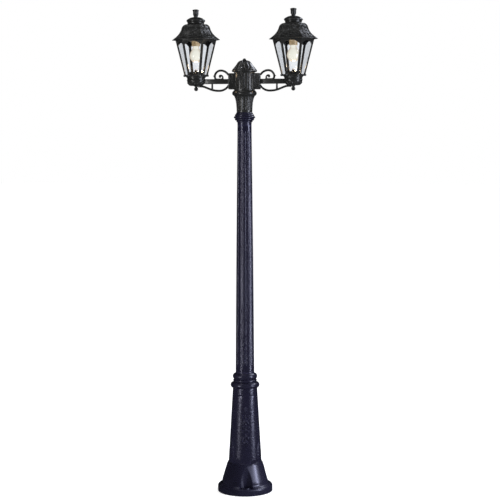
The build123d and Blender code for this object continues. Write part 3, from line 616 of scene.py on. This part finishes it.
def leaf(shell, surface, path, width, height, lobes=0, fat=0.75):
    """A leaf with a sunk midrib, a domed half on each side and lobed edges.

    The smaller fat is, the nearer to its root the leaf is widest.
    """
    rings, last = [], len(path) - 1
    for i, p in enumerate(path):
        t = i / last
        before, after = path[max(i - 1, 0)], path[min(i + 1, last)]
        along = (Vector(after) - Vector(before)).normalized()
        side = Vector((-along.y, along.x))
        half = 0.5 * width * max(math.sin(math.pi * min(t ** fat, 1.0)), 0.04) ** 0.8
        if lobes:
            half *= 1.0 - LOBE_DEPTH * ((t * lobes) % 1.0) * min(4.0 * (1.0 - t), 1.0)
        tip = min(1.0, 6.0 * t, 6.0 * (1.0 - t)) ** 0.5
        top, low = [], []
        for k in range(LEAF_COLUMNS + 1):
            s = 2.0 * k / LEAF_COLUMNS - 1.0
            at = p + side * (half * s)
            here, normal = surface.point(at.x, at.y), surface.normal(at.x, at.y)
            swell = math.sin(math.pi * abs(s) ** 0.62) ** 0.7 if 0 < abs(s) < 1 else 0.0
            rise = height * tip * (0.28 * (1.0 - abs(s)) + 0.9 * swell)
            top.append(here + normal * (rise if abs(s) < 1 else -SUNK))
            low.append(here - normal * 2.0 * SUNK)
        rings.append(top + list(reversed(low))[1:-1])
    shell.rings(rings)


def dome(shell, surface, across, along, radius, height):
    """A round bead lying on the surface."""
    here, normal = surface.point(across, along), surface.normal(across, along)
    right = normal.orthogonal().normalized()
    up = normal.cross(right)
    rings = []
    for k in range(BEAD_RINGS):
        a = math.radians(BEAD_TOP) * k / (BEAD_RINGS - 1)
        ring = []
        for j in range(BEAD_SIDES):
            b = 2 * math.pi * j / BEAD_SIDES
            flat = (right * math.cos(b) + up * math.sin(b)) * (radius * math.cos(a))
            ring.append(here + flat + normal * (height * math.sin(a) - (SUNK if k == 0 else 0.0)))
        rings.append(ring)
    shell.rings(rings)


def flower(shell, surface, across, along, radius, height, petals, turn=0.0):
    """A flat flower: petals round a bead."""
    middle = Vector((across, along))
    petal_width = 2.1 * radius * math.sin(math.pi / petals)
    for i in range(petals):
        out = direction(turn + 360 * i / petals) * radius
        leaf(shell, surface, straight(middle + out * 0.16, middle + out, 10), petal_width, height, fat=1.25)
    dome(shell, surface, across, along, radius=0.3 * radius, height=1.25 * height)


def both_sides(shape, shell, surface, path, **sizes):
    """A stroke or a leaf along a path and along its mirror image."""
    for run in (path, mirrored(path)):
        shape(shell, surface, run, **sizes)


# ---- the ornament itself ------------------------------------------------------------------------

PEDESTAL_TURN = -78.0     # the front ornament's place round the pedestal, in degrees from +X
FOOT_LEAF_TURNS = (60, 120, 240, 300)
CAP_SCREW_TURN = 270


def candelabra(shell, surface):
    """A narrow stem ornament: flower, scrolls, bellflowers and a drop, the same on both sides.

    Its heights are above the ground. The pedestal is steep, so they serve as lengths along it.
    """
    def up(height):
        """A height in mm as a length along the pedestal."""
        return height * MM - surface.heights[0]

    flower(shell, surface, 0.0, up(397), radius=11.5 * MM, height=3.4 * MM, petals=6, turn=30)
    stroke(shell, surface, straight((0, up(384)), (0, up(220)), 42),
           width=3.8 * MM, height=2.8 * MM, thin=0.6)
    for height, size, rise in ((362, 1.0, 3.8), (292, 0.86, 3.6)):
        scroll = bend((12.5 * size * MM, up(height - 10)), heading=62, length=78 * size * MM,
                      curvatures=(0.62, 0.3, 0.12, 0.05, -0.02, -0.05, -0.08))
        both_sides(stroke, shell, surface, scroll, width=4.2 * size * MM, height=rise * MM, thin=0.45)
        curl = bend((17.0 * size * MM, up(height + 6)), heading=120, length=60 * size * MM,
                    curvatures=(0.05, 0.06, 0.09, 0.14, 0.26, 0.5, 0.8))
        both_sides(stroke, shell, surface, curl, width=4.0 * size * MM, height=rise * MM, thin=0.5)
    for height, reach, droop in ((346, 19, 16), (322, 24, 10), (270, 20, 14), (247, 15, 10)):
        root = Vector((1.6 * MM, up(height)))
        swing = Vector((0.5 * reach * MM, up(height - 0.1 * droop)))
        tip = Vector((reach * MM, up(height - 2 * droop)))
        path = [root * (1 - t) ** 2 + swing * (2 * t * (1 - t)) + tip * t ** 2
                for t in (k / 13 for k in range(14))]
        both_sides(leaf, shell, surface, path, width=11.5 * MM, height=3.4 * MM, lobes=4)
    for height in (335, 308, 281, 258):
        leaf(shell, surface, straight((0, up(height)), (0, up(height - 16)), 9),
             width=12.5 * MM, height=4.2 * MM, fat=1.3)
    for across, height, radius in ((0, 376, 2.6), (9, 312, 1.9), (-9, 312, 1.9), (15, 232, 2.0),
                                   (-15, 232, 2.0), (0, 211, 3.0), (7, 222, 1.5), (-7, 222, 1.5)):
        dome(shell, surface, across * MM, up(height), radius=radius * MM, height=1.1 * radius * MM)


def foot_leaves(shell, surface):
    """One broad upright leaf on the pedestal's foot, with a rib on each side."""
    leaf(shell, surface, straight((0, 3 * MM), (0, 95 * MM), 24),
         width=40 * MM, height=2.0 * MM, lobes=5, fat=0.62)
    edge = bend((21.5 * MM, 40 * MM), heading=92, length=82 * MM,
                curvatures=(-0.008, -0.004, 0.003, 0.010, 0.016, 0.03))
    both_sides(stroke, shell, surface, edge, width=2.8 * MM, height=1.6 * MM, thin=0.3)


def make_pedestal_relief(materials):
    """Ornament on the pedestal's front and back, and leaves round its foot."""
    low, high = trimmed("pedestal", 4 * MM, 2 * MM)
    for i, turn in enumerate((0.0, 180.0)):
        shell = Shell()
        candelabra(shell, Surface("pedestal", 0.0, PEDESTAL_TURN + turn, low, high))
        shell.piece(f"pedestal_ornament_{i + 1}", materials["post_resin"], "post", "post_resin")
    shell = Shell()
    for turn in FOOT_LEAF_TURNS:
        foot_leaves(shell, Surface("pedestal", 0.0, PEDESTAL_TURN + turn, low, high))
    shell.piece("pedestal_leaves", materials["post_resin"], "post", "post_resin")


def roof_panel(shell, surface):
    """Relief of one roof panel: a border bead, a trellis, two scrolls and a palmette."""
    low, high, margin = 13.5 * MM, surface.length - 7 * MM, 6.8 * MM
    corner_cut, corner_height = 10 * MM, 6 * MM
    clear_across, clear_along = 1.2 * MM, 1 * MM

    def half(along):
        """Half the width of the panel, which is one side of a hexagon."""
        return surface.ring(along)[1] * math.tan(math.radians(30.0))

    side = []
    for k in range(31):
        along = low + (high - low) * k / 30
        rounding = corner_cut * math.exp(-((along - low) / corner_height) ** 2)
        side.append(Vector((half(along) - margin - rounding, along)))
    top = [Vector((side[-1].x * (1 - k / 9), high)) for k in range(1, 10)]
    foot = [Vector((side[0].x * k / 12, low + 2 * MM * ((k / 12) ** 2 - 1))) for k in range(12)]
    both_sides(stroke, shell, surface, foot + side + top, width=3.0 * MM, height=1.8 * MM, thin=0.9)

    def inside(across, along):
        """Whether a place lies within the border bead."""
        room = half(along) - margin - clear_across
        return low + clear_along < along < high - clear_along and abs(across) < room

    pitch, lean = 8.8 * MM, (high - low) / 1.05
    for k in range(-14, 15):
        for sign in (-1, 1):
            run = straight((k * pitch, low), (k * pitch + sign * lean, high), 60)
            stroke(shell, surface, run, width=1.7 * MM, height=1.1 * MM, thin=0.9, inside=inside)
    scroll = bend((15.5 * MM, 35 * MM), heading=74, length=92 * MM,
                  curvatures=(-0.55, -0.20, -0.06, 0.0, 0.05, 0.09, 0.3, 0.7))
    both_sides(stroke, shell, surface, scroll, width=4.8 * MM, height=3.0 * MM, thin=0.4)
    upper, lower = Vector((0, 47 * MM)), Vector((0, 44 * MM))
    for heading, size in ((128, 25), (52, 25), (90, 34)):
        path = straight(upper, upper + direction(heading) * (size * MM), 14)
        leaf(shell, surface, path, width=13.5 * MM, height=2.8 * MM, lobes=4)
    for heading in (-28, -152):
        path = straight(lower, lower + direction(heading) * (22 * MM), 12)
        leaf(shell, surface, path, width=11.0 * MM, height=2.6 * MM, lobes=3)
    path = straight(lower, lower + direction(-90) * (22 * MM), 12)
    leaf(shell, surface, path, width=11.5 * MM, height=2.8 * MM, lobes=3)
    dome(shell, surface, 0.0, 46 * MM, radius=3.0 * MM, height=2.6 * MM)


def lantern_axis(side):
    """The X of a lantern's upright axis."""
    low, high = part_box(side + "_roof")
    return (low.x + high.x) / 2


def make_roof_relief(side, materials):
    """Trellis, scrolls and leaves on the six roof panels, and a rib down each corner."""
    roof, axis_x = side + "_roof", lantern_axis(side)
    low, high = trimmed(roof, 4 * MM, 0.5 * MM)
    shell = Shell()
    for turn in range(30, 360, 60):
        roof_panel(shell, Surface(roof, axis_x, turn, low, high, flat=True))
    shell.piece(side + "_roof_relief", materials["head_resin"], side + "_roof_cover", "head_resin")
    shell = Shell()
    for turn in range(0, 360, 60):
        corner = Surface(roof, axis_x, turn, low, high)
        rib = straight((0, 4 * MM), (0, corner.length - 1 * MM), 41)
        stroke(shell, corner, rib, width=4.6 * MM, height=1.6 * MM, thin=0.5)
    shell.piece(side + "_roof_ribs", materials["head_resin"], side + "_roof_cover", "head_resin")


def make_cup_relief(side, materials):
    """Lapped leaves round the cup's bowl."""
    cup, axis_x = side + "_cup", lantern_axis(side)
    low, high = trimmed(cup, 5.5 * MM, 24.5 * MM)
    shell = Shell()
    for turn in range(9, 360, 36):
        bowl = Surface(cup, axis_x, turn, low, high)
        path = straight((0, 1 * MM), (0, bowl.length - 0.5 * MM), 12)
        leaf(shell, bowl, path, width=20.5 * MM, height=2.4 * MM, lobes=3, fat=1.35)
    shell.piece(side + "_cup_relief", materials["head_resin"], "post", "head_resin")


def make_cap_relief(materials):
    """Acanthus leaves climbing the hub cap, with a leaf tip between each two but not on the screw."""
    low, high = trimmed("hub_cap", 7.5 * MM, 9 * MM)
    shell = Shell()
    for turn in range(0, 360, 45):
        face = Surface("hub_cap", 0.0, turn + 22.5, low, high)
        path = straight((0, 2 * MM), (0, face.length - 4 * MM), 22)
        leaf(shell, face, path, width=31.5 * MM, height=1.9 * MM, lobes=6, fat=0.60)
        if turn != CAP_SCREW_TURN:
            between = Surface("hub_cap", 0.0, turn, low, high)
            path = straight((0, 1 * MM), (0, 27 * MM), 12)
            leaf(shell, between, path, width=13.0 * MM, height=2.2 * MM, lobes=3, fat=0.62)
    shell.piece("cap_leaves", materials["head_resin"], "post", "head_resin")


make_studio()
materials = make_materials()
dress_cad_nodes(materials)
make_pedestal_relief(materials)
make_cap_relief(materials)
for side in SIDES:
    make_roof_relief(side, materials)
    make_cup_relief(side, materials)
